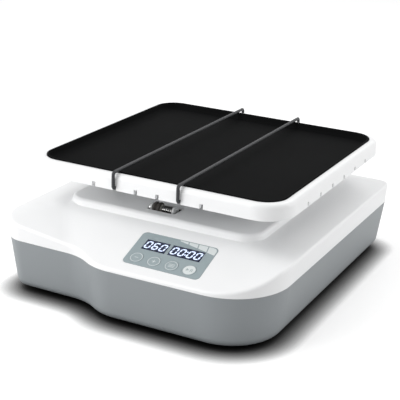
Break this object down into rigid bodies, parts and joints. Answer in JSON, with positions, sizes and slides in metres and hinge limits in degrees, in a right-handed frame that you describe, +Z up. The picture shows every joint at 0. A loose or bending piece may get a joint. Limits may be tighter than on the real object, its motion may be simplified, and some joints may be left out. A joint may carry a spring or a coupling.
{
  "type": "laboratory shaker",
  "caption": "Bench shaker with a square matted tray that orbits level on cranks, a sloped keypad with two displays and two hold-down cords.",
  "frame": {"origin": "on the bench under the middle of the base", "axes": "+X right along the control panel, +Y to the rear connections, +Z up"},
  "size_m": [0.2703, 0.3168, 0.1264],
  "materials": {
    "white_plastic": "fine satin moulded plastic",
    "grey_plastic": "fine satin moulded plastic",
    "black_rubber": "matt rubber",
    "mat_rubber": "matt rubber with a faint grain",
    "cord_black": "braided elastic",
    "steel": "turned steel",
    "bright_steel": "polished",
    "aluminium": "milled aluminium",
    "plate_steel": "zinc-plated sheet",
    "motor_black": "painted can",
    "brass": "machined brass",
    "panel_film": "fine textured film",
    "key_grey": "fine textured film with pale marks",
    "display_dark": "clear dark window",
    "display_body": "moulded plastic",
    "circuit_board": "solder mask",
    "black_plastic": "moulded plastic",
    "rocker_black": null
  },
  "bodies": {
    "root": {"bottom_shell": "grey_plastic", "top_cover": "white_plastic", "rubber_feet": "black_rubber", "foot_screws": "steel", "case_screws": "steel", "cover_seals": "black_rubber", "plate_posts": "aluminium", "post_screws": "steel", "drive_plate": "plate_steel", "main_housing": "aluminium", "main_bearings": "steel", "idler_housings": "aluminium", "idler_bearings": "steel", "housing_screws": "steel", "motor": "motor_black", "motor_screws": "steel", "drive_belt": "black_rubber", "panel_membrane": "panel_film", "speed_window": "display_dark", "speed_display": "display_body", "timer_window": "display_dark", "timer_display": "display_body", "tact_switches": "black_plastic", "control_board": "circuit_board", "board_screws": "steel", "recess_liner": "black_plastic", "guide_bracket": "plate_steel", "guide_pin": "bright_steel", "guide_spring": "steel", "guide_screw": "steel", "rear_panel": "plate_steel", "power_inlet": "black_plastic", "inlet_pins": "brass", "power_switch": "black_plastic", "power_board": "circuit_board", "power_board_feet": "black_plastic"},
    "crank": {"crank_shaft": "steel", "crank_pulley": "aluminium", "counterweight": "steel"},
    "tray": {"tray_carrier": "aluminium", "tray_bearings": "steel", "tray_screws": "steel", "tray": "white_plastic", "tray_mat": "mat_rubber", "cord_left": "cord_black", "cord_right": "cord_black", "cord_beads": "steel"},
    "idler_crank_front_left": {"idler_front_left": "steel"},
    "idler_crank_front_right": {"idler_front_right": "steel"},
    "idler_crank_rear_left": {"idler_rear_left": "steel"},
    "idler_crank_rear_right": {"idler_rear_right": "steel"},
    "motor_rotor": {"motor_shaft": "steel", "motor_pulley": "aluminium"},
    "roller": {"guide_roller": "black_plastic"},
    "minus_key": {"key_minus": "key_grey"},
    "plus_key": {"key_plus": "key_grey"},
    "mode_key": {"key_mode": "key_grey"},
    "start_key": {"key_start": "key_grey"},
    "rocker": {"power_rocker": "rocker_black"}
  },
  "joints": [
    {"name": "crank_spin", "type": "hinge", "parent": "root", "child": "crank", "pos_m": [0, 0.023, 0.06], "axis": [0, 0, 1], "continuous": true},
    {"name": "tray_turn", "type": "hinge", "parent": "crank", "child": "tray", "pos_m": [0, 0.015, 0.104], "axis": [0, 0, 1], "continuous": true},
    {"name": "motor_spin", "type": "hinge", "parent": "root", "child": "motor_rotor", "pos_m": [-0.078, 0.023, 0.06], "axis": [0, 0, 1], "continuous": true},
    {"name": "idler_spin_front_left", "type": "hinge", "parent": "root", "child": "idler_crank_front_left", "pos_m": [-0.075, -0.032, 0.07], "axis": [0, 0, 1], "continuous": true},
    {"name": "idler_spin_front_right", "type": "hinge", "parent": "root", "child": "idler_crank_front_right", "pos_m": [0.075, -0.032, 0.07], "axis": [0, 0, 1], "continuous": true},
    {"name": "idler_spin_rear_left", "type": "hinge", "parent": "root", "child": "idler_crank_rear_left", "pos_m": [-0.075, 0.078, 0.07], "axis": [0, 0, 1], "continuous": true},
    {"name": "idler_spin_rear_right", "type": "hinge", "parent": "root", "child": "idler_crank_rear_right", "pos_m": [0.075, 0.078, 0.07], "axis": [0, 0, 1], "continuous": true},
    {"name": "roller_spin", "type": "hinge", "parent": "root", "child": "roller", "pos_m": [-0.0027, -0.0755, 0.0845], "axis": [1, 0, 0], "continuous": true},
    {"name": "minus_press", "type": "slide", "parent": "root", "child": "minus_key", "axis": [0, 0.342, -0.9397], "range_m": [0, 0.0004], "stiffness_N_per_m": 1000},
    {"name": "plus_press", "type": "slide", "parent": "root", "child": "plus_key", "axis": [0, 0.342, -0.9397], "range_m": [0, 0.0004], "stiffness_N_per_m": 1000},
    {"name": "mode_press", "type": "slide", "parent": "root", "child": "mode_key", "axis": [0, 0.342, -0.9397], "range_m": [0, 0.0004], "stiffness_N_per_m": 1000},
    {"name": "start_press", "type": "slide", "parent": "root", "child": "start_key", "axis": [0, 0.342, -0.9397], "range_m": [0, 0.0004], "stiffness_N_per_m": 1000},
    {"name": "rocker_tilt", "type": "hinge", "parent": "root", "child": "rocker", "pos_m": [0.024, 0.148, 0.028], "axis": [-1, 0, 0], "range_deg": [0, 16]}
  ],
  "couplings": [
    {"joint": "tray_turn", "follows": "crank_spin", "ratio": -1},
    {"joint": "motor_spin", "follows": "crank_spin", "ratio": 4},
    {"joint": "idler_spin_front_left", "follows": "crank_spin", "ratio": 1},
    {"joint": "idler_spin_front_right", "follows": "crank_spin", "ratio": 1},
    {"joint": "idler_spin_rear_left", "follows": "crank_spin", "ratio": 1},
    {"joint": "idler_spin_rear_right", "follows": "crank_spin", "ratio": 1}
  ]
}
